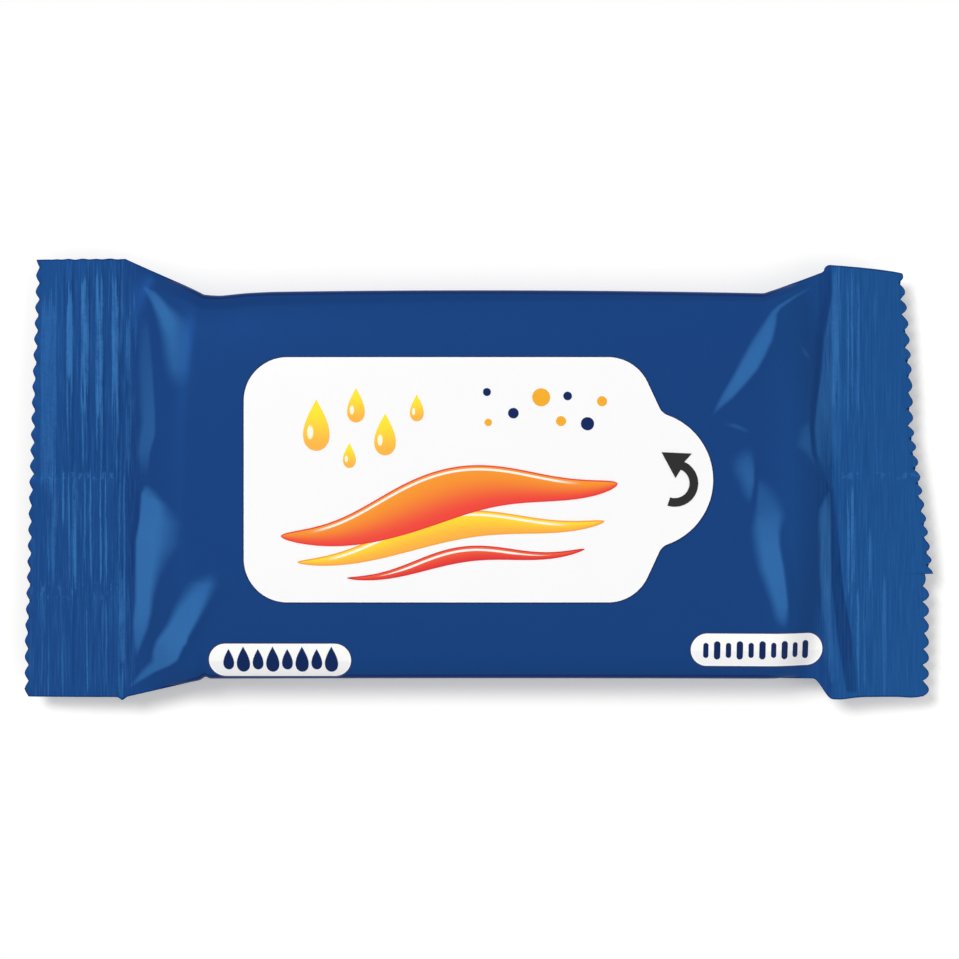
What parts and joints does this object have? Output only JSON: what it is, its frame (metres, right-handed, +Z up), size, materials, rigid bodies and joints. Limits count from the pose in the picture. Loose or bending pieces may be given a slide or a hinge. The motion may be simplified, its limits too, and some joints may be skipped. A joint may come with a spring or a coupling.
{
  "type": "wet wipes pack",
  "caption": "Sealed pillow pack of moist wipes in printed film, with crimped and serrated end seals, a fin seal on the back and a peel label with a lifting tab.",
  "frame": {"origin": "middle of the pack's footprint, on the plane it rests on", "axes": "+X along the pack towards the label's tab, +Y across it, +Z up out of the labelled front"},
  "size_m": [0.14, 0.0672, 0.0127],
  "materials": {
    "printed_film": "satin deep blue print on plastic film",
    "label_stock": "smooth white self-adhesive label film"
  },
  "bodies": {
    "root": {"film_pack": "printed_film", "reseal_label": "label_stock"}
  },
  "joints": []
}
